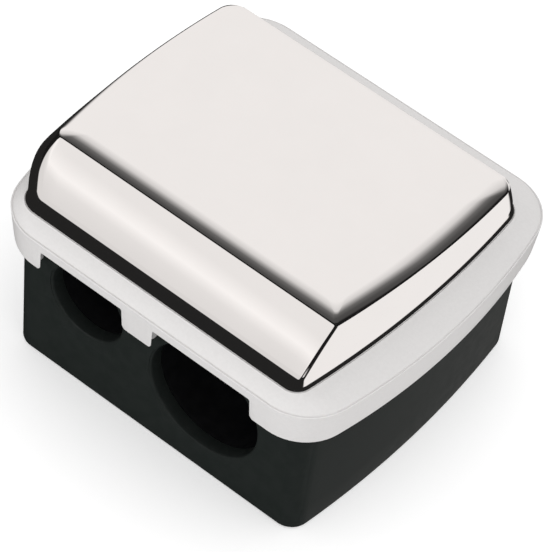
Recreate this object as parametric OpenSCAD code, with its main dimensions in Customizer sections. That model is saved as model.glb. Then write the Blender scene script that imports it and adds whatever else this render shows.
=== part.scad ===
// Two-hole pocket pencil sharpener with a shavings box and a hinged mirror-capped lid.
// Millimetres. +Z is up, the pencil holes face -Y, and the origin is under the centre of the lid.
// Every outline of the box and the lid has a straight front and back, bowed sides and rounded corners.

/* [Pencil channels] */
// Diameter of the slim pencil
slim_pencil_d = 8; // [6.5:0.1:8.4]
// Diameter of the thick pencil
thick_pencil_d = 12; // [10:0.1:12.4]
// Play of a pencil in its guide, on the radius
pencil_play = 0.1; // [0.05:0.01:0.2]
// Distance of the slim channel from the middle, to the left
slim_offset = 8.4; // [8.2:0.1:8.6]
// Distance of the thick channel from the middle, to the right
thick_offset = 5.5; // [5.2:0.1:6]
// Depth of the top of both guides under the box rim
guide_drop = 1.2; // [1:0.1:1.6]
// Half-angle of the slim point
slim_point_angle = 11.5; // [10:0.5:13]
// Half-angle of the thick point
thick_point_angle = 16; // [15:0.5:18]
// Radius left at the tip of each cone
tip_r = 0.9; // [0.6:0.1:1.2]

/* [Box] */
// Width of the box across its front corners
box_w = 33.3; // [32.8:0.1:34]
// Depth of the box at its foot
box_d = 32.0; // [31.4:0.1:32.6]
// How far each side of the box bows out
box_bow = 1.2; // [0.8:0.1:1.5]
// Corner radius of the box
box_corner_r = 2.0; // [1.8:0.1:2.4]
// Height of the box rim
box_h = 17.0; // [16.6:0.1:17.4]
// Draft of the walls, at the rim
box_draft = 0.3; // [0.1:0.05:0.35]
// Thickness of the box walls
box_wall = 1.3; // [1.2:0.1:1.5]
// Thickness of the box floor
box_floor = 1.2; // [1:0.1:1.4]
// Rounding of the foot edge
foot_round = 0.35; // [0.2:0.05:0.6]
// How much wider each hole in the box front is than its guide, on the radius
hole_margin = 0.05; // [0.03:0.01:0.15]

/* [Lid] */
// How far the lid's corners stand out past each side of the box
lid_over_x = 1.25; // [1:0.05:1.5]
// How far the lid stands out past the front and the back of the box
lid_over_y = 2.15; // [2:0.05:2.4]
// How far each side of the lid bows out
lid_bow = 2.5; // [2.2:0.1:2.8]
// Corner radius of the lid
lid_corner_r = 5.4; // [5:0.1:5.6]
// Height of the skirt
skirt_h = 4.1; // [3.8:0.1:4.4]
// How far the skirt draws in at its lower edge
skirt_draft = 0.45; // [0.3:0.05:0.5]
// Wall of the skirt
skirt_wall = 1.1; // [0.9:0.05:1.15]
// Gap between the box rim and the lid that rests on it
seat_gap = 0.1; // [0.05:0.05:0.2]
// Height of the crease between skirt and sloping rim, above the box rim
crease_rise = 1.2; // [1.1:0.1:1.4]
// Width of the fine step at the crease
crease_step = 0.12; // [0.08:0.02:0.2]
// Rise of the sloping rim from the crease to the cap's foot
rim_rise = 0.85; // [0.7:0.05:1]
// Thickness of the deck over the blades
deck_t = 1.2; // [1:0.1:1.3]
// Left edge of the middle tab
tab_left_x = -3.0; // [-3.2:0.1:-2.8]
// Right edge of the middle tab
tab_right_x = 0.7; // [0.5:0.1:0.9]
// Left edge of the slim notch
notch_left_x = -12.4; // [-12.8:0.1:-12]
// Right edge of the thick notch
notch_right_x = 11.7; // [11.4:0.1:12.2]
// Rounding of the tabs' lower corners
tab_round = 0.7; // [0.3:0.1:1]
// Height of the rear skirt, which clears the box as the lid swings
rear_skirt_h = 2.0; // [1.7:0.1:2.1]

/* [Cap] */
// Distance of the cap's foot from the lid's crease, at each side
cap_in_x = 1.75; // [1.6:0.05:2]
// Distance of the cap's foot from the lid's crease, at front and back
cap_in_y = 1.85; // [1.7:0.05:2.1]
// How far the sides of the cap bow out
cap_bow = 1.15; // [1:0.05:1.3]
// Corner radius of the cap's foot
cap_corner_r = 1.9; // [1.5:0.1:2.2]
// Height of the steep band at the foot of the cap
cap_band_h = 1.3; // [1:0.1:1.6]
// How far that band slopes in, at front and back
cap_band_in = 0.75; // [0.5:0.05:0.9]
// Rise of the cap from its foot to the edge of its top
cap_rise = 5.45; // [5:0.05:5.8]
// Distance of the top's edge from the cap's foot, at each side
cap_top_in_x = 0.3; // [0.2:0.05:0.5]
// Distance of the top's edge from the cap's foot, at front and back
cap_top_in_y = 4.7; // [4.3:0.1:5]
// Crown of the cap's top
cap_crown = 0.5; // [0.3:0.1:0.8]
// Wall of the cap
cap_wall = 0.8; // [0.6:0.1:1]
// Width of the groove round the cap's foot
groove_w = 0.2; // [0.1:0.05:0.3]
// Depth of that groove
groove_depth = 0.35; // [0.2:0.05:0.5]

/* [Hinge and catch] */
// Radius of the hinge pin
pin_r = 0.5; // [0.4:0.05:0.5]
// Radius of the hinge knuckles
knuckle_r = 0.95; // [0.85:0.05:0.95]
// Distance of the hinge axis behind the box
hinge_back = 0.8; // [0.75:0.05:0.9]
// Depth of the hinge axis under the box rim
hinge_drop = 2.4; // [2.3:0.1:2.6]
// Length of the lid's knuckle
lid_knuckle_l = 10; // [8:0.5:12]
// Length of each knuckle of the box
box_knuckle_l = 3; // [2:0.5:4]
// Gap between neighbouring knuckles
knuckle_gap = 0.15; // [0.1:0.05:0.3]
// Running clearance of the lid's knuckle on the pin, on the radius
pin_run = 0.05; // [0.02:0.01:0.08]
// Clearance of the pin in the knuckles that grip it, on the radius
pin_grip = 0.01; // [0.005:0.005:0.02]
// Angle at which the lid meets its stop
lid_stop_angle = 108; // [106:1:112]
// Radius of the catch bump on the middle tab
catch_r = 0.6; // [0.5:0.05:0.65]
// Width of the catch bump
catch_w = 2.2; // [1.5:0.1:2.6]

/* [Blades] */
// Thickness of the blades
blade_t = 0.6; // [0.4:0.1:0.8]
// Width of the slim blade
slim_blade_w = 6.4; // [5.5:0.1:6.6]
// Length of the slim blade
slim_blade_l = 15.5; // [13:0.5:16]
// Width of the thick blade
thick_blade_w = 7.2; // [6.5:0.1:7.6]
// Length of the thick blade
thick_blade_l = 17.5; // [15:0.5:18]
// Width of the ground edge of a blade
edge_w = 1.2; // [0.8:0.1:1.6]
// How deep the cutting edge reaches into the channel
bite = 0.15; // [0.1:0.05:0.25]
// Radius of the blade screws' shank
screw_r = 0.9; // [0.8:0.05:1]
// Radius of the blade screws' head
screw_head_r = 1.7; // [1.4:0.1:1.9]
// Height of the blade screws' head
screw_head_h = 0.8; // [0.6:0.1:0.9]
// Length of the blade screws' shank
screw_l = 3.4; // [3:0.1:3.8]

/* [Hidden] */
$fn = 48;

ring = 0.02;       // height of a slab that only shapes a hull
over = 1;          // how far a cut runs past the solid
seam = 0.2;        // how far the parts of one moulding run into each other

// Sizes and heights that follow from the ones above
lid_w = box_w + 2 * lid_over_x;
lid_d = box_d + 2 * lid_over_y;
cap_w = lid_w - 2 * cap_in_x;
cap_d = lid_d - 2 * cap_in_y;
guide_top_z = box_h - guide_drop;
ledge_z = box_h + seat_gap;                    // face that rests over the box rim
crease_z = box_h + crease_rise;
skirt_z = crease_z - skirt_h;
rear_skirt_z = crease_z - rear_skirt_h;
deck_z = crease_z + rim_rise;                  // flat deck that carries the cap
hinge_y = box_d / 2 + hinge_back;
hinge_z = box_h - hinge_drop;

slim_r = slim_pencil_d / 2 + pencil_play;
thick_r = thick_pencil_d / 2 + pencil_play;
slim_x = -slim_offset;
thick_x = thick_offset;

// Block: a front plate that carries both guides, with a cone behind each
block_play = 0.05;                             // clearance of the plate in its slot
guide_l = 3;                                   // thickness of the plate
sleeve_wall = 1.3;                             // wall round each cone
plate_y = -box_d / 2 + box_wall + block_play;  // front face of the plate
cone_y = plate_y + guide_l;                    // where the cones begin
plate_top_z = box_h - 0.3;
pad_t = 4.4;                                   // depth of the pad that takes a blade's screw
pad_lip = 0.5;                                 // how far a pad reaches past its blade
blade_start = 0.8;                             // distance of a blade behind the plate
chip_w = 2.4;                                  // width of the slot that lets the shavings out
chip_depth = 1.2;                              // depth of that slot
cut_h = 8;                                     // height of the cuts above a blade's seat
web_t = 1.5;                                   // web between the two cones
screw_share = 0.7;                             // place of the screw across the blade
screw_play = 0.02;                             // clearance of a screw in its pad, on the radius
screw_hole_play = 0.15;                        // clearance of a screw in its blade, on the radius
screw_slot_w = 0.4;
screw_slot_depth = 0.35;
screw_head_taper = 0.3;

// Box
rib_x = box_w / 2 - box_wall + 0.4;            // slot ribs that hold the plate
rib_w = 1.6;
rib_t = 1;
rib_h = 13;
knuckle_span = lid_knuckle_l / 2 + knuckle_gap + box_knuckle_l;
knuckle_room = 0.25;                           // air round the lid's knuckle, on the radius
catch_play = 0.15;
stop_lip = 0.6;                                // height of the stop's outer face
stop_root = 2.4;                               // height of the stop where it meets the wall
catch_z = box_h - 2;
catch_x = (tab_left_x + tab_right_x) / 2;

// Lid
skirt_over_box = ledge_z - skirt_z;            // how far the skirt reaches down over the box
corner_gap = 0.2;                              // least air between the skirt and the box corners
groove_lip = 0.1;                              // edge of the deck left outside the groove
arm_back = 0.75;                               // the knuckle arm reaches this far behind the axis
arm_front = 0.35;
rear_cut_w = lid_w - 3.4;                      // width over which the rear skirt is cut short
rear_cut_y = lid_d / 2 - 2.7;                  // face at which that cut begins
arm_top_z = crease_z - 0.4;                    // the knuckle arm ends inside the rim
recess_margin = 0.3;                           // the inner recess keeps off the box wall
band_in_x = 0.1;                               // how far the cap's band leans in at each side
cap_top_corner_r = 1.2;
crown_rings = 6;
peg_r = 0.8;
peg_play = 0.05;
peg_x = 12;
peg_y = 8;
cap_top_d = cap_d - 2 * cap_top_in_y;

// How far the lid's skirt is drawn in at a height
function skirt_inset(z) = skirt_draft * (crease_z - z) / skirt_h;

// Distance of a tab's inner face from the middle, at a height
function tab_inner_y(z) = lid_d / 2 - skirt_inset(z) - skirt_wall;

// Points of an outline: straight front and back, bowed sides and round corners.
// w is the width across the corners, d the depth, bow the rise of the sides, r the corner radius.
// e draws the whole outline in evenly.
function bowed(w, d, bow, r, e = 0, corner_n = 6, side_n = 14) =
    let (
        side_r = (d * d / 4 + bow * bow) / (2 * bow),
        cx = w / 2 + bow - side_r,
        cr = max(r - e, 0.3),
        cy = d / 2 - e - cr,
        fx = cx + sqrt(pow(side_r - e - cr, 2) - cy * cy),
        a0 = atan2(cy, fx - cx),
        corner = [for (i = [0 : corner_n]) let (a = a0 + (90 - a0) * i / corner_n)
                  [fx + cr * cos(a), cy + cr * sin(a)]],
        side = [for (i = [1 : side_n - 1]) let (a = -a0 + 2 * a0 * i / side_n)
                [cx + (side_r - e) * cos(a), (side_r - e) * sin(a)]],
        half = concat([for (i = [corner_n : -1 : 0]) [corner[i][0], -corner[i][1]]], side, corner)
    )
    concat(half, [for (i = [len(half) - 1 : -1 : 0]) [-half[i][0], half[i][1]]]);

module box_outline(e = 0) polygon(bowed(box_w, box_d, box_bow, box_corner_r, e));
module lid_outline(e = 0) polygon(bowed(lid_w, lid_d, lid_bow, lid_corner_r, e));
module cap_outline(e = 0) polygon(bowed(cap_w, cap_d, cap_bow, cap_corner_r, e));
module cap_band_outline(e = 0)
    polygon(bowed(cap_w - 2 * band_in_x, cap_d - 2 * cap_band_in, cap_bow, cap_corner_r, e));
module cap_top_outline(e = 0)
    polygon(bowed(cap_w - 2 * cap_top_in_x, cap_top_d, cap_bow + cap_top_in_x, cap_top_corner_r, e));

module at(z, h = ring) translate([0, 0, z]) linear_extrude(height = h) children();

// A cylinder along X, centred on x
module rod_x(r, l, x = 0) translate([x - l / 2, 0, 0]) rotate([0, 90, 0]) cylinder(r = r, h = l);

// A cylinder or cone that runs from y1 to y2
module rod_y(r1, r2, y1, y2) translate([0, y1, 0]) rotate([-90, 0, 0]) cylinder(r1 = r1, r2 = r2, h = y2 - y1);

// Frame of a blade seat: X across the blade, Y down the cone's top line, Z out of the seat
module on_seat(x, angle) translate([x, cone_y, guide_top_z]) rotate([-angle, 0, 0]) children();

function cone_l(r, angle) = (r - tip_r) / tan(angle);

// ---- Box ----

module hole_cut(x, r) translate([x, 0, guide_top_z - r])
    rod_y(r + hole_margin, r + hole_margin, -box_d / 2 - box_draft - over, plate_y + over);

module box_knuckles() for (side = [-1, 1])
    translate([0, hinge_y, hinge_z])
        rod_x(knuckle_r, box_knuckle_l, side * (knuckle_span - box_knuckle_l / 2));

// Wedge under the hinge that the lid's arm comes to rest on
module lid_stop() {
    wall_y = box_d / 2 - seam;
    out_y = hinge_y + arm_back;
    face = lid_stop_angle;
    // height of the arm's back face at y, with the lid at its stop
    function face_z(y) = hinge_z + (arm_back - (y - hinge_y) * cos(face)) / -sin(face);
    translate([-lid_knuckle_l / 2, 0, 0]) rotate([90, 0, 90]) linear_extrude(height = lid_knuckle_l)
        polygon([[wall_y, face_z(wall_y)], [out_y, face_z(out_y)],
                 [out_y, face_z(out_y) - stop_lip], [wall_y, face_z(out_y) - stop_root]]);
}

module box_shell() color([0.13, 0.14, 0.14]) {
    difference() {
        union() {
            hull() {
                at(0) box_outline(foot_round);
                at(foot_round) box_outline();
                at(box_h - ring) box_outline(-box_draft);
            }
            box_knuckles();
            lid_stop();
        }
        difference() {
            at(box_floor, box_h) box_outline(box_wall);
            plate_ribs();
        }
        hole_cut(slim_x, slim_r);
        hole_cut(thick_x, thick_r);
        translate([0, hinge_y, hinge_z]) {
            rod_x(knuckle_r + knuckle_room, lid_knuckle_l + 2 * knuckle_gap);
            rod_x(pin_r + pin_grip, 2 * knuckle_span + over);
        }
        translate([catch_x, -tab_inner_y(catch_z), catch_z]) rod_x(catch_r + catch_play, catch_w + 2 * catch_play);
    }
}

// Ribs behind the plate, on both side walls
module plate_ribs() for (side = [-1, 1]) translate([side * rib_x - rib_w / 2, cone_y + block_play, 0])
    cube([rib_w, rib_t, box_floor + rib_h]);

// ---- Sharpener block ----

module sleeve(x, r, angle)
    translate([x, 0, guide_top_z - r])
        rod_y(r + sleeve_wall, tip_r + sleeve_wall, cone_y - seam, cone_y + cone_l(r, angle));

module channel(x, r, angle) translate([x, 0, guide_top_z - r]) {
    rod_y(r, r, plate_y - over, cone_y);
    rod_y(r, tip_r, cone_y, cone_y + cone_l(r, angle));
    rod_y(tip_r, tip_r, cone_y + cone_l(r, angle) - ring, cone_y + cone_l(r, angle) + over);
}

module screw_pad(x, angle, w, l) on_seat(x, angle)
    translate([0, -pad_lip, -pad_t]) cube([w + pad_lip, blade_start + l + 2 * pad_lip, pad_t - bite]);

module seat_cut(x, angle, w, l) on_seat(x, angle) {
    translate([-chip_w, blade_start - seam, -bite]) cube([chip_w + w + pad_lip + seam, l + 4 * over, cut_h]);
    translate([-chip_w, blade_start, -chip_depth]) cube([chip_w, l - 2, cut_h]);
    translate([screw_share * w, blade_start + l / 2, -bite - screw_l])
        cylinder(r = screw_r + screw_play, h = screw_l + over);
}

module sharpener_block() color([0.08, 0.08, 0.09]) difference() {
    union() {
        intersection() {
            at(box_floor + block_play, plate_top_z - box_floor - block_play) box_outline(box_wall + block_play);
            translate([-box_w, plate_y, 0]) cube([2 * box_w, guide_l, box_h]);
        }
        sleeve(slim_x, slim_r, slim_point_angle);
        sleeve(thick_x, thick_r, thick_point_angle);
        screw_pad(slim_x, slim_point_angle, slim_blade_w, slim_blade_l);
        screw_pad(thick_x, thick_point_angle, thick_blade_w, thick_blade_l);
        translate([slim_x, cone_y - seam, guide_top_z - thick_r])
            cube([slim_offset + thick_offset, cone_l(slim_r, slim_point_angle), web_t]);
    }
    channel(slim_x, slim_r, slim_point_angle);
    channel(thick_x, thick_r, thick_point_angle);
    seat_cut(slim_x, slim_point_angle, slim_blade_w, slim_blade_l);
    seat_cut(thick_x, thick_point_angle, thick_blade_w, thick_blade_l);
}

// ---- Blades and their screws ----

module blade(x, angle, w, l) on_seat(x, angle) translate([0, blade_start, -bite]) difference() {
    translate([0, l, 0]) rotate([90, 0, 0]) linear_extrude(height = l)
        polygon([[0, 0], [w, 0], [w, blade_t], [edge_w, blade_t]]);
    translate([screw_share * w, l / 2, -over]) cylinder(r = screw_r + screw_hole_play, h = blade_t + 2 * over);
}

module blade_screw(x, angle, w, l) on_seat(x, angle)
    translate([screw_share * w, blade_start + l / 2, blade_t - bite]) difference() {
        union() {
            translate([0, 0, -screw_l]) cylinder(r = screw_r, h = screw_l + ring);
            cylinder(r1 = screw_head_r, r2 = screw_head_r - screw_head_taper, h = screw_head_h);
        }
        translate([-screw_head_r - over, -screw_slot_w / 2, screw_head_h - screw_slot_depth])
            cube([2 * screw_head_r + 2 * over, screw_slot_w, over]);
    }

module slim_blade() color("silver") blade(slim_x, slim_point_angle, slim_blade_w, slim_blade_l);
module thick_blade() color("silver") blade(thick_x, thick_point_angle, thick_blade_w, thick_blade_l);
module slim_blade_screw() color("gainsboro") blade_screw(slim_x, slim_point_angle, slim_blade_w, slim_blade_l);
module thick_blade_screw() color("gainsboro") blade_screw(thick_x, thick_point_angle, thick_blade_w, thick_blade_l);

// ---- Hinge pin ----

module hinge_pin() color("darkgray") translate([0, hinge_y, hinge_z]) rod_x(pin_r, 2 * knuckle_span);

// ---- Lid ----

// Front notch between two tabs, whose lower corners are rounded
module notch(x1, x2) {
    r = tab_round;
    step = 15;
    points = concat(
        [[x1 - r, skirt_z - over]],
        [for (a = [-90 : step : 0]) [x1 - r + r * cos(a), skirt_z + r + r * sin(a)]],
        [[x1, ledge_z], [x2, ledge_z]],
        [for (a = [180 : step : 270]) [x2 + r + r * cos(a), skirt_z + r + r * sin(a)]],
        [[x2 + r, skirt_z - over]]
    );
    translate([0, -lid_d / 2 + 3, 0]) rotate([90, 0, 0]) linear_extrude(height = 3 + over) polygon(points);
}

module lid_frame() color([0.84, 0.83, 0.82]) {
    difference() {
        union() {
            hull() {
                at(skirt_z) lid_outline(skirt_draft);
                at(crease_z - ring) lid_outline();
            }
            hull() {
                at(crease_z - ring) lid_outline(crease_step);
                at(deck_z - ring) cap_outline(-groove_w - groove_lip);
            }
        }
        hull() {
            at(skirt_z - over) lid_outline(skirt_inset(skirt_z - over) + skirt_wall);
            at(ledge_z - ring) lid_outline(skirt_inset(ledge_z) + skirt_wall);
        }
        at(skirt_z - over, skirt_over_box + over) box_outline(-box_draft - corner_gap);
        at(ledge_z - over, deck_z - deck_t - ledge_z + over) box_outline(box_wall + recess_margin);
        difference() {
            at(deck_z - groove_depth, groove_depth + over) cap_outline(-groove_w);
            at(deck_z - groove_depth - over, groove_depth + 3 * over) cap_outline();
        }
        notch(notch_left_x, tab_left_x);
        notch(tab_right_x, notch_right_x);
        translate([-rear_cut_w / 2, rear_cut_y, skirt_z - over])
            cube([rear_cut_w, lid_d, rear_skirt_z - skirt_z + over]);
        for (x = [-peg_x, peg_x], y = [-peg_y, peg_y])
            translate([x, y, 0]) cylinder(r = peg_r + peg_play, h = deck_z + over);
    }
    lid_knuckle();
    translate([catch_x, -tab_inner_y(catch_z), catch_z]) intersection() {
        rod_x(catch_r, catch_w);
        translate([-catch_w, -skirt_wall / 2, -catch_w]) cube([2 * catch_w, 2 * catch_w, 2 * catch_w]);
    }
}

module lid_knuckle() difference() {
    union() {
        translate([0, hinge_y, hinge_z]) rod_x(knuckle_r, lid_knuckle_l);
        translate([-lid_knuckle_l / 2, hinge_y - arm_front, hinge_z])
            cube([lid_knuckle_l, arm_front + arm_back, arm_top_z - hinge_z]);
    }
    translate([0, hinge_y, hinge_z]) rod_x(pin_r + pin_run, lid_knuckle_l + over);
}

// ---- Cap ----

function crown_z(share) = deck_z + cap_rise + cap_crown * sin(90 * share);

module lid_cap() color([0.93, 0.92, 0.91]) {
    difference() {
        hull() {
            at(deck_z) cap_outline();
            at(deck_z + cap_band_h - ring) cap_band_outline();
            for (i = [0 : crown_rings]) let (share = i / crown_rings)
                at(crown_z(share) - ring) cap_top_outline(share * (cap_top_d / 2 - 1));
        }
        hull() {
            at(deck_z - over) cap_outline(cap_wall);
            at(deck_z + cap_band_h - ring) cap_band_outline(cap_wall);
            at(crown_z(0) - cap_wall - ring) cap_top_outline(cap_wall / 2);
        }
    }
    for (x = [-peg_x, peg_x], y = [-peg_y, peg_y])
        translate([x, y, deck_z - deck_t]) cylinder(r = peg_r, h = cap_rise + deck_t - cap_wall + seam);
}

box_shell();
sharpener_block();
slim_blade();
thick_blade();
slim_blade_screw();
thick_blade_screw();
hinge_pin();
lid_frame();
lid_cap();
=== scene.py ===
"""Two-hole pocket pencil sharpener: black box, silver lid frame and mirror cap, over the CAD model.

Lengths are millimetres, and MM turns them into metres where a mesh is made. Named angles are degrees.
The frame is the CAD's: +Z points up, and the two pencil holes face -Y. The sizes of the box and the lid
frame repeat the CAD source's. The cap's are fitted to the photo, inside the box around its solid.
"""
from math import atan2, cos, pi, radians, sin, sqrt, tan

import bmesh
import bpy
from mathutils import Matrix, Vector


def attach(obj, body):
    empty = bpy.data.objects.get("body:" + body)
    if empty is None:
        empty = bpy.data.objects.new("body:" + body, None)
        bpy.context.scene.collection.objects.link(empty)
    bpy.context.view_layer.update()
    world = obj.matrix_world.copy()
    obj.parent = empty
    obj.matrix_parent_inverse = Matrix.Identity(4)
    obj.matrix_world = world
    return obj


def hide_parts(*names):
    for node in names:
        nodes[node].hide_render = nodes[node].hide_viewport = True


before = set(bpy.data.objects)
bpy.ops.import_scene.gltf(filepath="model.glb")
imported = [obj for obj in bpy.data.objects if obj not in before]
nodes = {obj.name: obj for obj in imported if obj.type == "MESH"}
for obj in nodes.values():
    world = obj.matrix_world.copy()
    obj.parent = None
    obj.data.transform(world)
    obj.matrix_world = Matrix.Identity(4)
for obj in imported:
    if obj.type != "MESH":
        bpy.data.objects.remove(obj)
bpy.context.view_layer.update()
MM = 0.001

# ---- Sizes of the box and the hinge ----

BOX_W = 33.3             # across the corners
BOX_D = 32.0
BOX_BOW = 1.2            # how far the middle of a side stands out
BOX_R = 2.0              # upright corners
BOX_H = 17.0
BOX_DRAFT = 0.3          # how far each wall leans out by the rim
BOX_WALL = 1.3
BOX_FLOOR = 1.2
FOOT_ROUND = 0.35
RIM_ROUND = 0.15         # edges of the rim, and of the hollow in the lid
RIM_MID = 0.04           # the middle of that round, measured from the corner that it rounds
FILLET = 0.5             # inside, around the floor
FILLET_MID = 0.15

HOLES = ((-8.4, 11.7, 4.15), (5.5, 9.7, 6.15))    # x, z and radius
HOLE_LIP = 0.2           # rounding of a hole's front edge, which the CAD leaves sharp
LIP_LEAN = 0.6           # share of HOLE_LIP that moves the rounding out to the leaning wall

RIB_OUT_X, RIB_IN_X = 16.8, 14.95                 # one on each side wall, behind the block's plate
RIB_FRONT, RIB_BACK = -11.6, -10.6
RIB_TOP = 14.2

HINGE_Y, HINGE_Z = 16.8, 14.6
HINGE = (0, HINGE_Y, HINGE_Z)
KNUCKLE_R = 0.95
KNUCKLE_BEVEL = 0.12
KNUCKLE_GAP = 0.15       # between the lid's knuckle and its neighbours
RECESS_GAP = 0.25        # around the lid's knuckle
LID_KNUCKLE_HALF = 5.0
BOX_KNUCKLE_L = 3.0
PIN_R = 0.5
PRESS_GAP, TURN_GAP = 0.01, 0.05                  # around the pin, in the box and in the lid
BOX_BORE_HALF, LID_BORE_HALF = 9, 6               # half lengths of the cutters for the pin
ARM_BACK, ARM_FRONT = 0.75, 0.35                  # of the lid's arm, from the axis
ARM_DROP = 0.4           # from the crease to the arm's top
ARM_INSET = 0.03         # from the knuckle's end to the arm's side
STOP_ANGLE = 108.0
STOP_FOOT = 2.4          # from the top of its outer edge down to its foot at the wall
STOP_EDGE = 0.6          # height of its outer edge

CATCH_X, CATCH_Y, CATCH_Z = -1.15, -16.7, 15.0
CATCH_R, CATCH_HALF = 0.6, 1.1
CATCH_BEVEL = 0.1
CATCH_GAP = 0.15
CATCH_KEEP_Y = -17.2     # the bump is kept behind this, inside the skirt

# ---- Sizes of the lid frame ----

LID_W, LID_D = 35.8, 36.3
LID_BOW = 2.5
LID_R = 5.4
LID_GAP = 0.2            # between the skirt and the box
SKIRT_Z = 14.1           # lower edge
SKIRT_DRAFT = 0.45       # how far the lower edge is drawn in
SKIRT_WALL = 1.1
SKIRT_ROUND = 0.22
LEDGE_Z = 17.1           # underside, just over the box's rim
CREASE_Z = 18.2          # where the skirt ends and the sloping rim starts
CREASE_DROP = 0.12       # from the crease down to the skirt's rounded top edge
CREASE_ROUND = 0.1
CREASE_STEP = 0.12       # how far the rim starts inside the skirt
STEP_FAR, STEP_NEAR = 0.1, 0.04                   # the two points of the small round in that step
SLOPE_IN = 0.2           # how much smaller than the step the slope's first outline is
SLOPE_LIFT = 0.02        # from the crease up to its first outline
SLOPE_DROP = 0.04        # from the deck down to its last one
SLOPE_CROWN = 0.1
DECK_Z = 19.05           # foot of the cap
DECK_T = 1.2
HOLLOW_IN = 0.3          # from the box's inner wall to the hollow under the deck
REAR_SKIRT_Z = 16.2      # lower edge of the skirt over the hinge
REAR_CUT_X, REAR_CUT_D = 16.2, 2.7                # half width and depth of the cut under that edge

NOTCHES = ((-12.4, -3.0), (0.7, 11.7))            # from x to x
NOTCH_R = 0.7            # between a notch and the skirt's lower edge
NOTCH_BEVEL = 0.15       # upper corners
NOTCH_SLANT = 0.9        # how far the left end slants through the skirt, which the CAD leaves square
NOTCH_D = 3.0

# ---- Sizes of the mirror cap ----

CAP_W, CAP_BOW = 32.4, 1.15
CAP_FRONT, CAP_REAR = -16.3, 14.8
CAP_R_FRONT, CAP_R_LEFT, CAP_R_REAR = 1.6, 2.4, 2.6
GROOVE_W, GROOVE_DEPTH = 0.07, 0.2                # around the cap's foot
GROOVE_LIP = 0.05        # round at its outer edge
SEAT_DROP, SEAT_IN = 0.02, 1.0                    # the deck under the cap
FOOT_ROUND_LEVELS = ((0.0, 0.08), (0.03, 0.02), (0.08, 0.0))    # height and draw-in at the cap's foot

BAND_H = 1.3             # steep band at the foot
BAND_IN_X, BAND_IN_Y = 0.2, 0.75
BAND_EARLY = 0.25        # share of its height by which the sides have drawn in
FACET_R, FACET_R_LEFT = 0.45, 2.8                 # front corners at the top of the band
FACET_BULGE, LEFT_BULGE = 0.15, 0.85              # upward all around, and sideways at the left
LEFT_BULGE_START = 0.25  # share of the bulge's half wave that the band already holds
HALF_W = 16              # where the left bulge is full

CAP_RISE = 5.38          # from the deck to the roll around the top
TOP_W, TOP_BOW = 32.3, 0.75
TOP_FRONT, TOP_REAR = -11.6, 12.3
TOP_R_FRONT, TOP_R_LEFT, TOP_R_REAR = 0.35, 1.0, 1.8
TAPER = 0.02             # share by which the rear is wider than the front, at the top
SKEW_FRONT, SKEW_REAR = -0.85, 0.2                # sideways shift of the front and of the rear
EDGE_R, EDGE_TILT = 0.16, 38.0                    # small round between the walls and the roll
EDGE_DROP = 0.15
EDGE_TIGHTEN = 0.5       # share of the draw-in by which the front right corner tightens there
ROLL, ROLL_TILT = 2.7, 19.0                       # width and first slope of the roll
ROLL_FADE = 1.15         # how soon its slope dies out
ROLL_LATE = 0.3          # share of the roll after which the front corners widen
ROLL_REAR = 0.5          # share by which the roll is wider at the rear
ROLL_R_FRONT, ROLL_R_LEFT, ROLL_R_REAR = 2.4, 1.4, 3.2
TOP_CROWN = 0.04         # rise of the top inside the roll
TOP_HALF = 0.6           # half the depth of the innermost outline
TOP_R_END = 0.5          # its corners

PEG_X, PEG_Y = 12, 8
PEG_R, PEG_BEVEL = 0.8, 0.1
PEG_IN = 0.3             # how far a peg reaches into the cap

CUT = 1.0                # how far a cutter reaches past what it cuts
JOIN = 0.2               # how far a joined form reaches into its neighbour
AXIS_R = 0.01            # a turned form closes on a disc of this radius
MIN_R = 0.12             # smallest corner of an outline

# Points on the stretches of an outline, and sides of a turned form.
EDGE_POINTS, FRONT_CORNER_POINTS, FLANK_POINTS, REAR_CORNER_POINTS = 24, 12, 36, 10
KNUCKLE_SIDES, BUMP_SIDES, BORE_SIDES, HOLE_SIDES = 48, 40, 32, 96


# ---- Outlines ----

def mix(a, b, t):
    return a + (b - a) * t


def steps(n):
    """Shares 1/n, 2/n and so on up to 1."""
    return [i / n for i in range(1, n + 1)]


def quarter(n):
    """Angles from 0 to a right angle in n equal steps."""
    return [pi / 2 * i / n for i in range(n + 1)]


def arc(x, y, r, a, b, n):
    return [(x + r * cos(mix(a, b, i / n)), y + r * sin(mix(a, b, i / n))) for i in range(n)]


def line(a, b):
    """Points between two ends, without the ends."""
    return [(mix(a[0], b[0], t), mix(a[1], b[1], t)) for t in steps(EDGE_POINTS)[:-1]]


def outline(front, rear, w, bow, r_front, r_rear, e=0.0, r_left=None):
    """Closed outline, counter-clockwise: straight front and rear edges, bowed sides, round corners.

    w is the width across the corners, bow the rise of the sides, and e draws all of it in evenly.
    r_left is the radius of the front left corner, where it differs from the right one.
    """
    depth = rear - front
    middle = (front + rear) / 2
    side_r = (depth * depth / 4 + bow * bow) / (2 * bow)
    side_x = w / 2 + bow - side_r
    bow_r = side_r - e

    def side(corner_r):
        """Right half from the front on. Names in f are of the front corner, names in r of the rear one."""
        rf = max(corner_r - e, MIN_R)
        rr = max(r_rear - e, MIN_R)
        yf = front + e + rf
        yr = rear - e - rr
        xf = side_x + sqrt((bow_r - rf) ** 2 - (yf - middle) ** 2)
        xr = side_x + sqrt((bow_r - rr) ** 2 - (yr - middle) ** 2)
        af = atan2(yf - middle, xf - side_x)
        ar = atan2(yr - middle, xr - side_x)
        front_corner = arc(xf, yf, rf, -pi / 2, af, FRONT_CORNER_POINTS)
        flank = arc(side_x, middle, bow_r, af, ar, FLANK_POINTS)
        rear_corner = arc(xr, yr, rr, ar, pi / 2, REAR_CORNER_POINTS)
        return front_corner + flank + rear_corner + [(xr, rear - e)]

    right = side(r_front)
    left = [(-x, y) for x, y in side(r_front if r_left is None else r_left)]
    return line(left[0], right[0]) + right + line(right[-1], left[-1]) + left[::-1]


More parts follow.
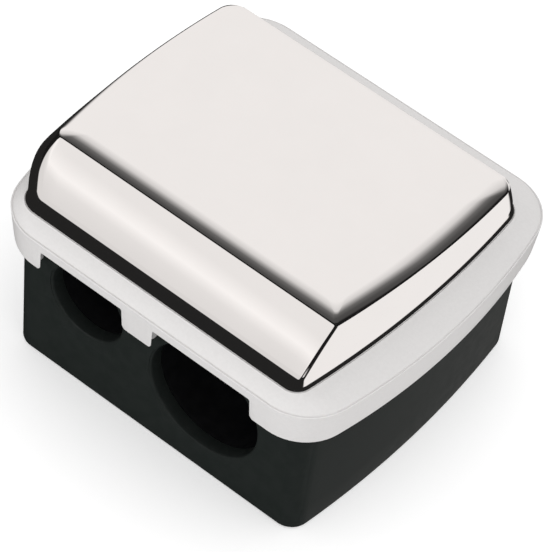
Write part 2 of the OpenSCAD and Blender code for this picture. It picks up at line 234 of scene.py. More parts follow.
def slide(points, front, rear, share=1.0):
    """Shifts an outline sideways, by SKEW_FRONT at its front and SKEW_REAR at its rear."""
    return [(x + share * mix(SKEW_FRONT, SKEW_REAR, (y - front) / (rear - front)), y) for x, y in points]


def rectangle(x1, y1, x2, y2):
    return [(x1, y1), (x2, y1), (x2, y2), (x1, y2)]


def level(points, z):
    """Puts a flat outline at a height."""
    return [(x, y, z) for x, y in points]


def box_outline(e):
    return outline(-BOX_D / 2, BOX_D / 2, BOX_W, BOX_BOW, BOX_R, BOX_R, e)


def box_ring(z, e=0.0):
    return level(box_outline(e), z)


def lid_ring(z, e=0.0):
    return level(outline(-LID_D / 2, LID_D / 2, LID_W, LID_BOW, LID_R, LID_R, e), z)


def cap_ring(z, e=0.0):
    points = outline(CAP_FRONT, CAP_REAR, CAP_W, CAP_BOW, CAP_R_FRONT, CAP_R_REAR, e, CAP_R_LEFT)
    return level(slide(points, CAP_FRONT, CAP_REAR), z)


# ---- Meshes ----

def mesh_object(name, verts, faces):
    mesh = bpy.data.meshes.new(name)
    mesh.from_pydata([Vector(v) * MM for v in verts], [], faces)
    mesh.validate()
    mesh.update()
    obj = bpy.data.objects.new(name, mesh)
    bpy.context.scene.collection.objects.link(obj)
    return obj


def loft(name, rings):
    """Closed solid through rings of equal point count. The first and the last ring are filled."""
    n = len(rings[0])
    verts = [v for ring in rings for v in ring]
    faces = [(k * n + i, k * n + (i + 1) % n, (k + 1) * n + (i + 1) % n, (k + 1) * n + i)
             for k in range(len(rings) - 1) for i in range(n)]
    faces.append(tuple(range(n - 1, -1, -1)))
    faces.append(tuple((len(rings) - 1) * n + i for i in range(n)))
    return mesh_object(name, verts, faces)


def lathe(name, profile, axis, origin, n):
    """Turned solid. profile is (radius, distance along the axis); it starts and ends next to the axis."""
    rings = []
    for r, h in profile:
        ring = []
        for i in range(n):
            a = 2 * pi * i / n
            u, v = r * cos(a), r * sin(a)
            p = {"X": (h, u, v), "Y": (v, h, u), "Z": (u, v, h)}[axis]
            ring.append(tuple(o + q for o, q in zip(origin, p)))
        rings.append(ring)
    return loft(name, rings)


def rod(name, r, start, end, origin, n, bevel=0.0):
    """Round bar along X. A bevel breaks the edges of both ends."""
    profile = [(AXIS_R, start), (r, start), (r, end), (AXIS_R, end)]
    if bevel:
        profile[1:3] = [(r - bevel, start), (r, start + bevel), (r, end - bevel), (r - bevel, end)]
    return lathe(name, profile, "X", origin, n)


def prism(name, points, axis, start, end):
    """Straight prism over a polygon. Axis X takes (y, z) points, and Z takes (x, y)."""
    place = {"X": lambda p, h: (h, p[0], p[1]), "Z": lambda p, h: (p[0], p[1], h)}[axis]
    return loft(name, [[place(p, h) for p in points] for h in (start, end)])


def face_outwards(obj):
    bm = bmesh.new()
    bm.from_mesh(obj.data)
    bmesh.ops.recalc_face_normals(bm, faces=bm.faces)
    bm.to_mesh(obj.data)
    bm.free()


def keep_modified(obj):
    """Makes the shape that the modifiers give into the object's own mesh."""
    bpy.context.view_layer.update()
    shaped = obj.evaluated_get(bpy.context.evaluated_depsgraph_get())
    done = bpy.data.meshes.new_from_object(shaped)
    obj.modifiers.clear()
    obj.data = done


def combine(obj, others, operation):
    """Joins the others to the object, cuts them from it or keeps what is common, and removes them."""
    face_outwards(obj)
    for other in others:
        face_outwards(other)
        mod = obj.modifiers.new("cut", "BOOLEAN")
        mod.operation = operation
        mod.object = other
        mod.solver = "MANIFOLD"
        keep_modified(obj)
        bpy.data.objects.remove(other)


def soften(obj, width, angle):
    """Rounds the edges sharper than angle, unless width is 0, and shades the rest smooth."""
    if width:
        mod = obj.modifiers.new("soften", "BEVEL")
        mod.width = width * MM
        mod.segments = 2
        mod.limit_method = "ANGLE"
        mod.angle_limit = radians(angle)
        mod.use_clamp_overlap = True
        mod.harden_normals = False
        keep_modified(obj)
    obj.data.shade_smooth()
    obj.data.set_sharp_from_angle(angle=radians(angle))


# ---- Box shell ----

def box_rings():
    """Outside from the foot up to the rim, then inside down to the floor."""
    foot = [box_ring(FOOT_ROUND * (1 - sin(a)), FOOT_ROUND * (1 - cos(a))) for a in quarter(5)]
    walls = [box_ring(mix(FOOT_ROUND, BOX_H - RIM_ROUND, t), mix(0, -BOX_DRAFT, t)) for t in steps(6)]
    rim = [box_ring(BOX_H - RIM_MID, -BOX_DRAFT + RIM_MID),
           box_ring(BOX_H, -BOX_DRAFT + RIM_ROUND),
           box_ring(BOX_H, BOX_WALL - RIM_ROUND),
           box_ring(BOX_H - RIM_MID, BOX_WALL - RIM_MID),
           box_ring(BOX_H - RIM_ROUND, BOX_WALL)]
    inside = [box_ring(BOX_FLOOR + FILLET, BOX_WALL),
              box_ring(BOX_FLOOR + FILLET_MID, BOX_WALL + FILLET_MID),
              box_ring(BOX_FLOOR, BOX_WALL + FILLET)]
    return foot[::-1] + walls + rim + inside


def box_knuckles():
    near = LID_KNUCKLE_HALF + KNUCKLE_GAP
    far = near + BOX_KNUCKLE_L
    return [rod("knuckle", KNUCKLE_R, start, end, HINGE, KNUCKLE_SIDES, KNUCKLE_BEVEL)
            for start, end in ((near, far), (-far, -near))]


def lid_stop():
    """Wedge behind the hinge, whose sloping face meets the lid's arm at STOP_ANGLE."""
    face = radians(STOP_ANGLE)
    wall_y = BOX_D / 2 - JOIN
    out_y = HINGE_Y + ARM_BACK

    def face_z(y):
        return HINGE_Z + (ARM_BACK - (y - HINGE_Y) * cos(face)) / -sin(face)

    points = [(wall_y, face_z(wall_y)), (wall_y, face_z(out_y) - STOP_FOOT),
              (out_y, face_z(out_y) - STOP_EDGE), (out_y, face_z(out_y))]
    return prism("stop", points, "X", -LID_KNUCKLE_HALF, LID_KNUCKLE_HALF)


def block_ribs():
    """Two ribs behind the plate of the sharpener block."""
    plans = [rectangle(side * RIB_OUT_X, RIB_FRONT, side * RIB_IN_X, RIB_BACK) for side in (-1, 1)]
    return [prism("rib", plan, "Z", BOX_FLOOR - JOIN, RIB_TOP) for plan in plans]


def hole_cutter(x, z, r):
    """Pencil hole with a rounded front edge."""
    back = -BOX_D / 2 + BOX_WALL + CUT
    front = -BOX_D / 2 - BOX_DRAFT - CUT
    curve = [(r + HOLE_LIP * (1 - cos(a)), -BOX_D / 2 + HOLE_LIP * (1 - sin(a))) for a in quarter(6)]
    edge = curve[:1] + [(radius, y - HOLE_LIP * LIP_LEAN) for radius, y in curve[1:]]
    profile = [(AXIS_R, back), (r, back)] + edge + [(r + HOLE_LIP, front), (AXIS_R, front)]
    return lathe("hole", profile, "Y", (x, 0, z), HOLE_SIDES)


def build_box():
    obj = loft("box_body", box_rings())
    combine(obj, box_knuckles() + [lid_stop()] + block_ribs(), "UNION")
    cuts = [hole_cutter(x, z, r) for x, z, r in HOLES]
    recess_half = LID_KNUCKLE_HALF + KNUCKLE_GAP
    cuts.append(rod("recess", KNUCKLE_R + RECESS_GAP, -recess_half, recess_half, HINGE, KNUCKLE_SIDES))
    cuts.append(rod("bore", PIN_R + PRESS_GAP, -BOX_BORE_HALF, BOX_BORE_HALF, HINGE, BORE_SIDES))
    catch_half = CATCH_HALF + CATCH_GAP
    cuts.append(rod("catch", CATCH_R + CATCH_GAP, CATCH_X - catch_half, CATCH_X + catch_half,
                    (0, CATCH_Y, CATCH_Z), BORE_SIDES))
    combine(obj, cuts, "DIFFERENCE")
    soften(obj, width=0.06, angle=40)
    return obj


# ---- Lid frame ----

def skirt_inset(z):
    """How far the draft has drawn the skirt in at a height."""
    return SKIRT_DRAFT * (CREASE_Z - z) / (CREASE_Z - SKIRT_Z)


def underside_rings():
    """From the hollow under the deck down to the ledge and out to the skirt."""
    hollow = BOX_WALL + HOLLOW_IN
    deck = DECK_Z - DECK_T
    return [box_ring(deck, hollow + RIM_ROUND),
            box_ring(deck - RIM_MID, hollow + RIM_MID),
            box_ring(deck - RIM_ROUND, hollow),
            box_ring(LEDGE_Z, hollow),
            lid_ring(LEDGE_Z, skirt_inset(LEDGE_Z) + SKIRT_WALL)]


def skirt_rings():
    """From the skirt's inner edge around its foot and up its outside."""
    low_in = skirt_inset(SKIRT_Z)
    foot = [lid_ring(SKIRT_Z, low_in + SKIRT_WALL)]
    foot += [lid_ring(SKIRT_Z + SKIRT_ROUND * (1 - cos(a)), low_in + SKIRT_ROUND * (1 - sin(a)))
             for a in quarter(5)]
    heights = [mix(SKIRT_Z + SKIRT_ROUND, CREASE_Z - CREASE_DROP, t) for t in steps(5)]
    return foot + [lid_ring(z, skirt_inset(z)) for z in heights]


def crease_rings():
    """The skirt's rounded top edge and the small step in to the sloping rim."""
    edge = [lid_ring(CREASE_Z - CREASE_DROP + CREASE_ROUND * sin(a), CREASE_ROUND * (1 - cos(a)))
            for a in quarter(4)[1:]]
    return edge + [lid_ring(CREASE_Z - STEP_FAR, CREASE_STEP + STEP_NEAR),
                   lid_ring(CREASE_Z - STEP_NEAR, CREASE_STEP + STEP_FAR)]


def slope_rings():
    """The crowned slope, from the lid's outline to the groove around the cap."""
    e = -GROOVE_W - GROOVE_LIP
    width = LID_W - 2 * CREASE_STEP - SLOPE_IN
    depth = LID_D - 2 * CREASE_STEP - SLOPE_IN
    corner = LID_R - SLOPE_IN
    rings = []
    for t in [0.0] + steps(12):
        ring = outline(mix(-depth / 2, CAP_FRONT + e, t), mix(depth / 2, CAP_REAR - e, t),
                       mix(width, CAP_W - 2 * e, t), mix(LID_BOW, CAP_BOW, t),
                       mix(corner, CAP_R_FRONT - e, t), mix(corner, CAP_R_REAR - e, t),
                       0, mix(corner, CAP_R_LEFT - e, t))
        z = mix(CREASE_Z + SLOPE_LIFT, DECK_Z - SLOPE_DROP, t) + SLOPE_CROWN * sin(pi * t)
        rings.append(level(slide(ring, CAP_FRONT, CAP_REAR, t), z))
    return rings


def groove_rings():
    """The groove around the cap's foot, and the deck under the cap."""
    return [cap_ring(DECK_Z, -GROOVE_W - GROOVE_LIP / 2),
            cap_ring(DECK_Z - GROOVE_LIP, -GROOVE_W),
            cap_ring(DECK_Z - GROOVE_DEPTH, -GROOVE_W),
            cap_ring(DECK_Z - GROOVE_DEPTH, 0),
            cap_ring(DECK_Z - SEAT_DROP, 0),
            cap_ring(DECK_Z - SEAT_DROP, SEAT_IN)]


def notch_cutter(x1, x2):
    """Notch over a hole, with rounded lower corners and a left end that slants through the skirt."""
    low = SKIRT_Z - CUT
    high = LEDGE_Z - NOTCH_BEVEL
    centre_z = SKIRT_Z + NOTCH_R

    def corner(centre_x, first):
        return [(centre_x + NOTCH_R * cos(first + a), centre_z + NOTCH_R * sin(first + a))
                for a in quarter(8)]

    points = [(x1 - NOTCH_R, low)] + corner(x1 - NOTCH_R, -pi / 2)
    points += [(x1, high), (x1 + NOTCH_BEVEL, LEDGE_Z), (x2 - NOTCH_BEVEL, LEDGE_Z), (x2, high)]
    points += corner(x2 + NOTCH_R, pi) + [(x2 + NOTCH_R, low)]
    front = -LID_D / 2
    middle = (x1 + x2) / 2
    layers = ((front + NOTCH_D, NOTCH_SLANT), (front + SKIRT_WALL, NOTCH_SLANT),
              (front, 0.0), (front - CUT, 0.0))
    return loft("notch", [[(x - (slant if x < middle else 0), y, z) for x, z in points]
                          for y, slant in layers])


def catch_bump():
    """Round bump inside the skirt's front, which snaps into the box's recess."""
    bump = rod("bump", CATCH_R, CATCH_X - CATCH_HALF, CATCH_X + CATCH_HALF,
               (0, CATCH_Y, CATCH_Z), BUMP_SIDES, CATCH_BEVEL)
    reach = 3
    inside = rectangle(CATCH_X - reach, CATCH_KEEP_Y, CATCH_X + reach, CATCH_KEEP_Y + reach)
    keep = prism("keep", inside, "Z", CATCH_Z - reach, CATCH_Z + reach)
    combine(bump, [keep], "INTERSECT")
    return bump


def hinge_arm():
    half = LID_KNUCKLE_HALF - ARM_INSET
    side = rectangle(HINGE_Y - ARM_FRONT, HINGE_Z, HINGE_Y + ARM_BACK, CREASE_Z - ARM_DROP)
    return prism("arm", side, "X", -half, half)


def build_lid_frame():
    rings = underside_rings() + skirt_rings() + crease_rings() + slope_rings() + groove_rings()
    obj = loft("lid_shell", rings)
    cuts = [prism("corners", box_outline(-BOX_DRAFT - LID_GAP), "Z", SKIRT_Z - CUT, LEDGE_Z)]
    cuts += [notch_cutter(x1, x2) for x1, x2 in NOTCHES]
    rear = rectangle(-REAR_CUT_X, LID_D / 2 - REAR_CUT_D, REAR_CUT_X, LID_D)
    cuts.append(prism("rear", rear, "Z", SKIRT_Z - CUT, REAR_SKIRT_Z))
    combine(obj, cuts, "DIFFERENCE")
    knuckle = rod("knuckle", KNUCKLE_R, -LID_KNUCKLE_HALF, LID_KNUCKLE_HALF, HINGE,
                  KNUCKLE_SIDES, KNUCKLE_BEVEL)
    combine(obj, [hinge_arm(), knuckle, catch_bump()], "UNION")
    bore = rod("bore", PIN_R + TURN_GAP, -LID_BORE_HALF, LID_BORE_HALF, HINGE, BORE_SIDES)
    combine(obj, [bore], "DIFFERENCE")
    soften(obj, width=0.07, angle=38)
    return obj


# ---- Mirror cap ----

def cap_level(z, front, rear, w, bow, radii, e=0.0, taper=TAPER, swell=0.0):
    """One outline of the cap. radii are front right, rear and front left; swell bulges the left side."""
    r_front, r_rear, r_left = radii
    points = [(x * (1 + taper * (y - front) / (rear - front)), y)
              for x, y in outline(front, rear, w, bow, r_front, r_rear, e, r_left)]
    return [(x - swell * max(0.0, -x / HALF_W) ** 4 * (rear - y) / (rear - front), y, z)
            for x, y in slide(points, front, rear)]


def cap_foot():
    """A tiny round where the cap meets the deck."""
    radii = (CAP_R_FRONT, CAP_R_REAR, CAP_R_LEFT)
    return [cap_level(DECK_Z + rise, CAP_FRONT, CAP_REAR, CAP_W, CAP_BOW, radii, e, 0.0)
            for rise, e in FOOT_ROUND_LEVELS]


def cap_band():
    """Steep band over the foot, where the bulge of the left side starts."""
    foot_h = FOOT_ROUND_LEVELS[-1][0]
    bulge = LEFT_BULGE * sin(pi * LEFT_BULGE_START)
    rings = []
    for t in steps(8):
        z = DECK_Z + mix(foot_h, BAND_H, t)
        side = BAND_IN_X * min(1.0, t / BAND_EARLY)
        radii = (mix(CAP_R_FRONT, FACET_R, t), CAP_R_REAR, mix(CAP_R_LEFT, FACET_R_LEFT, t))
        rings.append(cap_level(z, CAP_FRONT + BAND_IN_Y * t, CAP_REAR - side, CAP_W - 2 * side, CAP_BOW,
                               radii, 0, 0.0, bulge * t))
    return rings


def cap_walls(edge_z):
    """The sloping front with near-upright sides and rear, up to edge_z."""
    rings = []
    for t in steps(16):
        z = mix(DECK_Z + BAND_H, edge_z, t) + FACET_BULGE * sin(pi * t)
        front = mix(CAP_FRONT + BAND_IN_Y, TOP_FRONT, t)
        rear = mix(CAP_REAR - BAND_IN_X, TOP_REAR, t)
        width = mix(CAP_W - 2 * BAND_IN_X, TOP_W, t)
        radii = (mix(FACET_R, TOP_R_FRONT, t), mix(CAP_R_REAR, TOP_R_REAR, t),
                 mix(FACET_R_LEFT, TOP_R_LEFT, t))
        bulge = LEFT_BULGE * sin(pi * mix(LEFT_BULGE_START, 1.0, t))
        bow = mix(CAP_BOW, TOP_BOW, t)
        rings.append(cap_level(z, front, rear, width, bow, radii, 0, t * TAPER, bulge))
    return rings


def cap_top(z):
    """From height z: the small edge over the walls, the roll around the top and the nearly flat top."""
    rings = []

    def add_ring(height, r_front, r_rear, r_left, e, rear):
        radii = (e + r_front, e + r_rear, e + r_left)
        rings.append(cap_level(height, TOP_FRONT, rear, TOP_W, TOP_BOW, radii, e))

    turns = 5
    e = 0.0
    for i in range(1, turns + 1):
        tilt = mix(radians(EDGE_TILT), radians(ROLL_TILT), (i - 0.5) / turns)
        e += EDGE_R / turns
        z += EDGE_R / turns * tan(tilt)
        add_ring(z, TOP_R_FRONT - EDGE_TIGHTEN * e, TOP_R_REAR, TOP_R_LEFT, e, TOP_REAR)

    turns = 20
    edge_e = e
    for t in steps(turns):
        last = e
        e = mix(edge_e, ROLL, t)
        z += (e - last) * tan(radians(ROLL_TILT) * (1 - t + 0.5 / turns) ** ROLL_FADE)
        late = max(0.0, (t - ROLL_LATE) / (1 - ROLL_LATE))
        add_ring(z, mix(TOP_R_FRONT, ROLL_R_FRONT, late), mix(TOP_R_REAR, ROLL_R_REAR, t),
                 mix(TOP_R_LEFT, ROLL_R_LEFT, late), e, TOP_REAR - ROLL_REAR * (e - edge_e))

    rear = TOP_REAR - ROLL_REAR * (ROLL - edge_e)
    half = (rear - TOP_FRONT) / 2 - TOP_HALF
    for t in steps(8):
        radii = [mix(r, TOP_R_END, t) for r in (ROLL_R_FRONT, ROLL_R_REAR, ROLL_R_LEFT)]
        add_ring(z + TOP_CROWN * sin(pi / 2 * t), *radii, mix(ROLL, half, t), rear)
    return rings


def cap_pegs():
    """Four pegs that hold the cap in the deck."""
    low = DECK_Z - DECK_T
    high = DECK_Z + PEG_IN
    profile = [(AXIS_R, low), (PEG_R - PEG_BEVEL, low), (PEG_R, low + PEG_BEVEL),
               (PEG_R, high), (AXIS_R, high)]
    places = [(x, y, 0) for x in (-PEG_X, PEG_X) for y in (-PEG_Y, PEG_Y)]
    return [lathe("peg", profile, "Z", place, BORE_SIDES) for place in places]


def build_cap():
    edge_z = DECK_Z + CAP_RISE - EDGE_DROP
    obj = loft("mirror_cap", cap_foot() + cap_band() + cap_walls(edge_z) + cap_top(edge_z))
    combine(obj, cap_pegs(), "UNION")
    soften(obj, width=0, angle=24)
    return obj


# ---- Materials ----

def material(name):
    mat = bpy.data.materials.new(name)
    mat.use_nodes = True
    tree = mat.node_tree
    return mat, tree, tree.nodes["Principled BSDF"]


def add(tree, kind, inputs=None, **settings):
    """New node, with some of its settings and of its inputs' values."""
    node = tree.nodes.new(kind)
    for key, value in settings.items():
        setattr(node, key, value)
    for key, value in (inputs or {}).items():
        node.inputs[key].default_value = value
    return node


def map_range(tree, source, low, high, to_low, to_high):
    """Maps a value between low and high to the range from to_low to to_high."""
    ends = {"From Min": low, "From Max": high, "To Min": to_low, "To Max": to_high}
    node = add(tree, "ShaderNodeMapRange", ends)
    tree.links.new(source, node.inputs["Value"])
    return node.outputs["Result"]


def noise(tree, scale, detail, stretch=None):
    """Noise in the piece's own coordinates, drawn out into lines where stretch is given."""
    place = add(tree, "ShaderNodeTexCoord").outputs["Object"]
    if stretch:
        mapping = add(tree, "ShaderNodeMapping", {"Scale": stretch})
        tree.links.new(place, mapping.inputs["Vector"])
        place = mapping.outputs["Vector"]
    node = add(tree, "ShaderNodeTexNoise", {"Scale": scale, "Detail": detail})
    tree.links.new(place, node.inputs["Vector"])
    return node.outputs["Fac"]


def bump(tree, shader, height, strength, distance):
    """Surface relief. distance is in metres."""
    node = add(tree, "ShaderNodeBump", {"Strength": strength, "Distance": distance})
    tree.links.new(height, node.inputs["Height"])
    tree.links.new(node.outputs["Normal"], shader.inputs["Normal"])


def tint(tree, shader, factor, dark, light):
    """Base colour that wanders between two near shades."""
    ramp = add(tree, "ShaderNodeValToRGB")
    for element, place, colour in zip(ramp.color_ramp.elements, (0.35, 0.65), (dark, light)):
        element.position = place
        element.color = (*colour, 1)
    tree.links.new(factor, ramp.inputs["Fac"])
    tree.links.new(ramp.outputs["Color"], shader.inputs["Base Color"])


def gloss(tree, shader, factor, smooth, rough):
    """Roughness that follows the noise, whose middle range is 0.3 to 0.7."""
    tree.links.new(map_range(tree, factor, 0.3, 0.7, smooth, rough), shader.inputs["Roughness"])


def plastic(name, dark, light, rough, grain, specular):
    """Moulded plastic with a fine grain. Its highlight fades toward grazing angles."""
    mat, tree, shader = material(name)
    cloud = noise(tree, scale=900, detail=3)
    gloss(tree, shader, cloud, *rough)
    tint(tree, shader, cloud, dark, light)
    bump(tree, shader, noise(tree, scale=5200, detail=2), grain, distance=0.00006)
    facing = add(tree, "ShaderNodeLayerWeight").outputs["Facing"]
    highlight = map_range(tree, facing, 0.3, 0.5, specular, 0.01)
    tree.links.new(highlight, shader.inputs["Specular IOR Level"])
    return mat


def silver_paint():
    """Satin silver with a very fine sparkle."""
    mat, tree, shader = material("silver_plastic")
    sparkle = noise(tree, scale=3500, detail=3)
    gloss(tree, shader, sparkle, 0.34, 0.4)
    tint(tree, shader, sparkle, (0.685, 0.671, 0.665), (0.705, 0.691, 0.685))
    bump(tree, shader, noise(tree, scale=9000, detail=2), strength=0.02, distance=0.00003)
    shader.inputs["Specular IOR Level"].default_value = 0.4
    return mat


def chrome():
    """Mirror plating, with a trace of uneven gloss."""
    mat, tree, shader = material("mirror_chrome")
    cloud = noise(tree, scale=260, detail=3)
    gloss(tree, shader, cloud, 0.02, 0.028)
    tint(tree, shader, cloud, (0.955, 0.945, 0.935), (0.965, 0.955, 0.945))
    shader.inputs["Metallic"].default_value = 1.0
    return mat


def steel(name, colour, stretch, rough):
    """Ground steel. stretch is the noise's scale along each axis, and a small one draws out lines."""
    mat, tree, shader = material(name)
    lines = noise(tree, scale=900, detail=4, stretch=stretch)
    darker = tuple(0.82 * share for share in colour)
    tint(tree, shader, lines, darker, colour)
    tree.links.new(map_range(tree, lines, 0, 1, rough - 0.08, rough + 0.1), shader.inputs["Roughness"])
    bump(tree, shader, lines, strength=0.12, distance=0.00005)
    shader.inputs["Metallic"].default_value = 1.0
    return mat


def dress(obj, mat):
    obj.data.materials.clear()
    obj.data.materials.append(mat)


# ---- Pieces ----

black = plastic("black_plastic", (0.0150, 0.0180, 0.0168), (0.0175, 0.0205, 0.0193), (0.28, 0.36),
                grain=0.02, specular=0.2)
block = plastic("block_plastic", (0.004, 0.004, 0.0045), (0.006, 0.006, 0.0065), (0.30, 0.42),
                grain=0.05, specular=0.1)
silver = silver_paint()
mirror = chrome()
blade = steel("blade_steel", (0.62, 0.63, 0.65), stretch=(0.15, 4.0, 4.0), rough=0.28)
plated = steel("screw_steel", (0.56, 0.56, 0.57), stretch=(1.0, 1.0, 1.0), rough=0.24)

for maker, body, node, slot_name, mat in ((build_box, "box", "box_shell", "black_plastic", black),
                                          (build_lid_frame, "lid", "lid_frame", "silver_plastic", silver),
                                          (build_cap, "lid", "lid_cap", "mirror_chrome", mirror)):
    piece = maker()
    dress(piece, mat)
    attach(piece, body)
    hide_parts(node)
    # In the mirror the silver rim would show as stray streaks, where the photo shows plain white.
    piece.visible_glossy = node != "lid_frame"


def refine(obj):
    """Cleans up a CAD solid that stays in the scene, and rounds its edges a little."""
    weld = obj.modifiers.new("weld", "WELD")
    weld.merge_threshold = 0.002 * MM
    flat = obj.modifiers.new("flat", "DECIMATE")
    flat.decimate_type = "DISSOLVE"
    flat.angle_limit = radians(1)
    edge = obj.modifiers.new("edge", "BEVEL")
    edge.width = 0.06 * MM
    edge.segments = 2
    edge.limit_method = "ANGLE"
    edge.angle_limit = radians(35)
    edge.harden_normals = False


for node, mat in (("sharpener_block", block), ("slim_blade", blade), ("thick_blade", blade),
                  ("slim_blade_screw", plated), ("thick_blade_screw", plated), ("hinge_pin", plated)):
    dress(nodes[node], mat)
    refine(nodes[node])

# ---- Camera ----

AZIMUTH, ELEVATION = 34.07, 49.39
CAMERA_ROLL = 7.25
DISTANCE = 318.6
TARGET = Vector((1.80, -2.19, 12.0))
LENS, SENSOR = 228.8, 36.0


def place_camera():
    """The camera that fits the outlines in the photo."""
    camera = bpy.data.objects.new("camera", bpy.data.cameras.new("camera"))
    bpy.context.scene.collection.objects.link(camera)
    camera.data.lens = LENS
    camera.data.sensor_width = SENSOR
    camera.data.clip_start = 0.01
    camera.data.clip_end = 10
    az = radians(AZIMUTH)
    el = radians(ELEVATION)
    back = Vector((sin(az) * cos(el), -cos(az) * cos(el), sin(el)))
    aim = back.to_track_quat("Z", "Y").to_matrix().to_4x4()
    roll = Matrix.Rotation(radians(CAMERA_ROLL), 4, "Z")
    camera.matrix_world = Matrix.Translation((TARGET + back * DISTANCE) * MM) @ (aim @ roll)
    return camera


bpy.context.scene.camera = place_camera()

# ---- Floor ----

FLOOR_SIZE = 1.6         # metres
FLOOR_GREY = 0.78
FLOOR_GLOW = 0.36        # only the camera sees it, so it lights nothing


def build_floor():
    bpy.ops.mesh.primitive_plane_add(size=FLOOR_SIZE)
    obj = bpy.context.object
    obj.name = "floor"
    obj.visible_glossy = False    # what reflections show below is part of the studio
    mat, tree, shader = material("floor")
    shader.inputs["Base Color"].default_value = (FLOOR_GREY, FLOOR_GREY, FLOOR_GREY, 1)
    shader.inputs["Roughness"].default_value = 1.0
    shader.inputs["Specular IOR Level"].default_value = 0.0
    path = add(tree, "ShaderNodeLightPath")
    strength = add(tree, "ShaderNodeMath", {1: FLOOR_GLOW}, operation="MULTIPLY")
    glow = add(tree, "ShaderNodeEmission")
    total = add(tree, "ShaderNodeAddShader")
    tree.links.new(path.outputs["Is Camera Ray"], strength.inputs[0])
    tree.links.new(strength.outputs["Value"], glow.inputs["Strength"])
    tree.links.new(shader.outputs["BSDF"], total.inputs[0])
    tree.links.new(glow.outputs["Emission"], total.inputs[1])
    tree.links.new(total.outputs["Shader"], tree.nodes["Material Output"].inputs["Surface"])
    obj.data.materials.append(mat)
    return obj


floor = build_floor()

# ---- Studio ----

AMBIENT = 0.84           # strength of the plain soft light on matt surfaces
WARMTH = (1.0, 0.965, 0.95)      # colour of what reflections show
DARK, WHITE = 0.017, 0.88        # a gap between softboxes, and a softbox
MIRROR_X, MIRROR_Y = -0.364, 0.539    # of the direction that a level mirror shows to the photo's camera

RIGHT, LEFT = (1, 0, 0), (-1, 0, 0)
REAR, FRONT = (0, 1, 0), (0, -1, 0)
UP, DOWN = (0, 0, 1), (0, 0, -1)
LOW_FRONT = (-0.148, -0.549, -0.823)
FRONT_BOX = (MIRROR_X, -0.80, 0.48)   # middle of the box that the cap's sloping front reflects

# Brightness of the overhead box along the way out from its middle.
OVERHEAD_TONES = ((0.18, WHITE), (0.31, 0.66), (0.385, 0.34), (0.45, 0.14),
                  (0.54, 0.075), (0.61, 0.065), (0.67, 0.01))
LEFT_END, LEFT_FADE = 0.74, 8.0       # where it starts to fade at the left, and how fast
CORNER_FADE = 2.5                     # how much faster it fades behind at the right
# Brightness of the other boxes along the height of the direction.
FRONT_TONES = ((0.40, 0.72), (0.47, 0.80), (0.52, 0.98), (0.60, 0.84))
AROUND_TONES = ((0.0, 0.80), (0.6, WHITE))


class Sky:
    """Helpers for the world's nodes. A direction points from the object outward."""

    def __init__(self, tree):
        self.tree = tree
        self.direction = add(tree, "ShaderNodeTexCoord").outputs["Generated"]

    def axes(self):
        """The x, y and z of the direction."""
        node = add(self.tree, "ShaderNodeSeparateXYZ")
        self.tree.links.new(self.direction, node.inputs["Vector"])
        return node.outputs

    def lobe(self, direction, low, high):
        """Goes from 0 to 1 while the cosine of the angle to a direction goes from low to high."""
        dot = add(self.tree, "ShaderNodeVectorMath", operation="DOT_PRODUCT")
        self.tree.links.new(self.direction, dot.inputs[0])
        dot.inputs[1].default_value = Vector(direction).normalized()
        fade = add(self.tree, "ShaderNodeMapRange", {"From Min": low, "From Max": high},
                   interpolation_type="SMOOTHSTEP")
        self.tree.links.new(dot.outputs["Value"], fade.inputs["Value"])
        return fade.outputs["Result"]

    def chain(self, operation, *values):
        """One sum, product or the like over sockets and numbers, from left to right."""
        result = values[0]
        for value in values[1:]:
            node = add(self.tree, "ShaderNodeMath", operation=operation)
            for socket, source in zip(node.inputs, (result, value)):
                if isinstance(source, float):
                    socket.default_value = source
                else:
                    self.tree.links.new(source, socket)
            result = node.outputs["Value"]
        return result

    def over(self, value, start):
        """How far a value lies past a start, or 0."""
        return self.chain("MAXIMUM", self.chain("SUBTRACT", value, start), 0.0)

    def tones(self, factor, stops):
        """Slightly warm grey along a factor. stops are (factor, brightness)."""
        node = add(self.tree, "ShaderNodeValToRGB")
        elements = node.color_ramp.elements
        while len(elements) < len(stops):
            elements.new(0.5)
        for element, (place, bright) in zip(elements, stops):
            element.position = place
            element.color = (*(bright * share for share in WARMTH), 1)
        self.tree.links.new(factor, node.inputs["Fac"])
        return node.outputs["Color"]

    def mixed(self, factor, a, b):
        """Colour a where the factor is 0, and colour b where it is 1."""
        node = add(self.tree, "ShaderNodeMix", data_type="RGBA")
        for name, source in (("Factor", factor), ("A", a), ("B", b)):
            self.tree.links.new(source, node.inputs[name])
        return node.outputs["Result"]

    def background(self, strength, colour=None):
        """Plain white, or the given colour."""
        node = add(self.tree, "ShaderNodeBackground", {"Strength": strength, "Color": (1, 1, 1, 1)})
        if colour is not None:
            self.tree.links.new(colour, node.inputs["Color"])
        return node.outputs["Background"]

    def blend(self, factor, a, b):
        """Shader a where the factor is 0, and shader b where it is 1."""
        node = add(self.tree, "ShaderNodeMixShader")
        for place, source in enumerate((factor, a, b)):
            self.tree.links.new(source, node.inputs[place])
        return node.outputs["Shader"]


def overhead_box(sky, x, y):
    """Large box overhead, for the cap's top. It fades to the right, the front and the left."""
    minus_x = sky.chain("MULTIPLY", x, -1.0)
    minus_y = sky.chain("MULTIPLY", y, -1.0)
    right = sky.over(x, MIRROR_X)
    fore = sky.over(minus_y, -MIRROR_Y)
    left = sky.chain("MULTIPLY", sky.over(minus_x, LEFT_END), LEFT_FADE)
    corner = sky.chain("MULTIPLY", right, CORNER_FADE, sky.over(y, MIRROR_Y))
    away = sky.chain("ADD", right, fore, left, corner)
    return sky.tones(away, OVERHEAD_TONES)


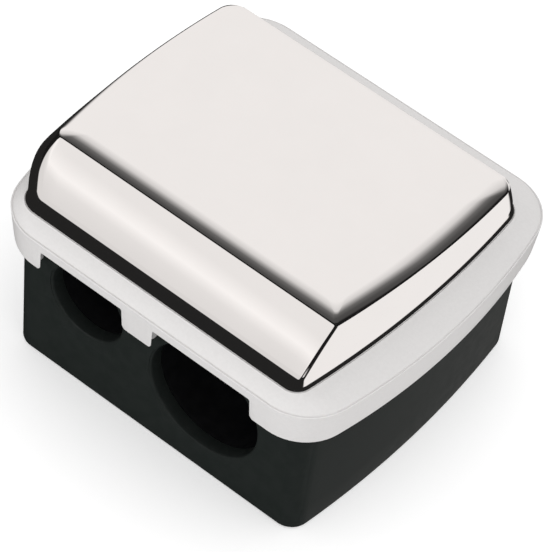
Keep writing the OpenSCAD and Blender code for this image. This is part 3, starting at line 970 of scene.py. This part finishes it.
def boxes_around(sky):
    """1 in three boxes that the photo's view hardly meets: behind, low in front and at the right."""
    behind = sky.lobe(REAR, 0.82, 0.90)
    low_front = sky.chain("MULTIPLY", sky.lobe(LOW_FRONT, 0.03, 0.06), sky.lobe(REAR, -0.84, -0.79),
                          sky.lobe(RIGHT, -0.76, -0.70))
    right = sky.chain("MULTIPLY", sky.lobe(RIGHT, 0.74, 0.80), sky.lobe(REAR, -0.35, -0.20))
    return sky.chain("MAXIMUM", behind, low_front, right)


def low_boxes(sky):
    """1 in two boxes near the horizon and below it: at the right, and behind at the left."""
    right = sky.chain("MULTIPLY", sky.lobe(RIGHT, 0.0, 0.1), sky.lobe(DOWN, 0.12, 0.18),
                      sky.lobe(REAR, -0.05, 0.15), sky.lobe(FRONT, -0.82, -0.72))
    behind_left = sky.chain("MULTIPLY", sky.lobe(REAR, 0.75, 0.85), sky.lobe(LEFT, 0.1, 0.25))
    return sky.chain("MAXIMUM", right, behind_left)


def reflected_studio(sky):
    """What reflections show: white softboxes with dark gaps, placed for the stripes in the photo."""
    x, y, z = sky.axes()
    high = sky.mixed(boxes_around(sky), overhead_box(sky, x, y), sky.tones(z, AROUND_TONES))
    high = sky.mixed(sky.lobe(FRONT_BOX, 0.885, 0.905), high, sky.tones(z, FRONT_TONES))
    low = sky.tones(low_boxes(sky), ((0.0, DARK), (1.0, WHITE)))
    return sky.mixed(sky.lobe(UP, 0.20, 0.24), low, high)


def build_world():
    """White where the camera sees it, soft light on matt surfaces, and the studio in reflections."""
    world = bpy.data.worlds.new("studio")
    bpy.context.scene.world = world
    world.use_nodes = True
    tree = world.node_tree
    tree.nodes.clear()
    sky = Sky(tree)
    path = add(tree, "ShaderNodeLightPath")
    # 0 behind a matt surface, so that the mirror throws none of the studio's stripes onto its neighbours.
    direct = sky.chain("LESS_THAN", path.outputs["Diffuse Depth"], 0.5)
    mirrored = sky.chain("MULTIPLY", path.outputs["Is Glossy Ray"], direct)
    light = sky.blend(mirrored, sky.background(AMBIENT), sky.background(1.0, reflected_studio(sky)))
    seen = sky.blend(path.outputs["Is Camera Ray"], light, sky.background(1.0))
    tree.links.new(seen, add(tree, "ShaderNodeOutputWorld").inputs["Surface"])


def softbox(name, place, size, watts):
    """Lamp aimed at the object. No reflection shows it."""
    lamp = bpy.data.lights.new(name, "AREA")
    lamp.shape = "RECTANGLE"
    lamp.size = size[0] * MM
    lamp.size_y = size[1] * MM
    lamp.energy = watts
    obj = bpy.data.objects.new(name, lamp)
    bpy.context.scene.collection.objects.link(obj)
    obj.location = Vector(place) * MM
    aim = Vector((0, 0, 10))
    obj.rotation_euler = (Vector(place) - aim).to_track_quat("Z", "Y").to_euler()
    obj.visible_glossy = False


build_world()
softbox("top_light", place=(120, 70, 400), size=(420, 420), watts=0.4)
softbox("front_light", place=(60, -400, 90), size=(300, 160), watts=0.5)

bpy.context.scene.view_settings.view_transform = "Standard"
